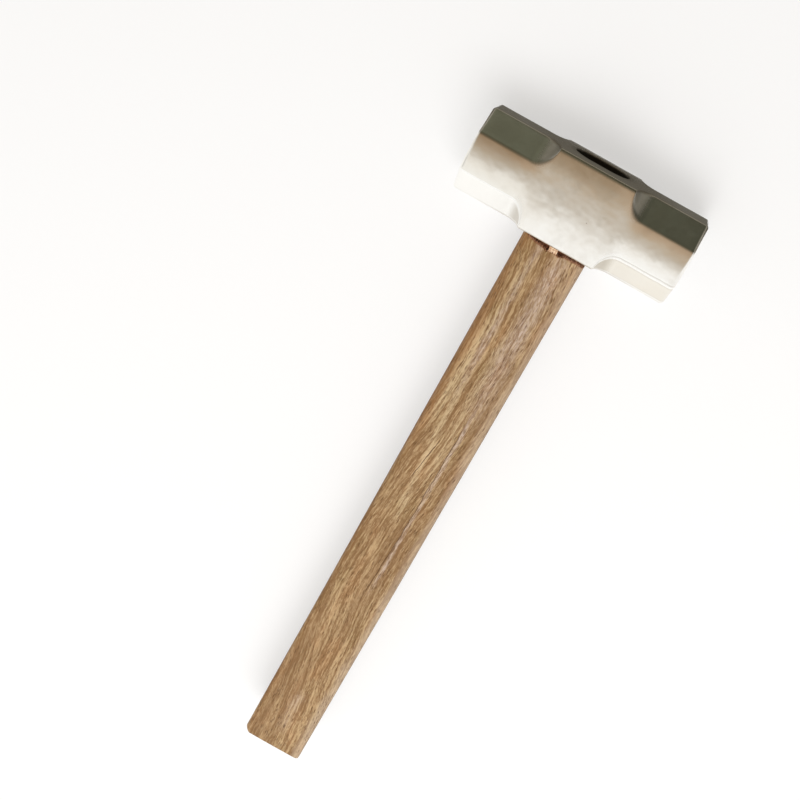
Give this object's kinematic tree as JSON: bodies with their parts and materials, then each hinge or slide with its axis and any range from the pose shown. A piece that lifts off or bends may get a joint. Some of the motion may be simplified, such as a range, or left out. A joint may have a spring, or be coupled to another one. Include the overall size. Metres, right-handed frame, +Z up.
{
  "type": "brass hammer",
  "caption": "Double-faced octagonal brass hammer head with scooped chamfers and a square cheek, wedged on a straight wooden handle.",
  "frame": {"origin": "centre of the side of the cheek that the hammer lies on", "axes": "+Z up out of the surface, X along the head from striking face to striking face, +Y from the butt towards the top of the head"},
  "size_m": [0.126, 0.4011, 0.0465],
  "materials": {
    "head_brass": "satin",
    "handle_wood": "matte",
    "wedge_wood": "matte",
    "wedge_steel": "satin"
  },
  "bodies": {
    "root": {"hammer_head": "head_brass", "handle": "handle_wood", "wooden_wedge": "wedge_wood", "steel_wedges": "wedge_steel"}
  },
  "joints": []
}
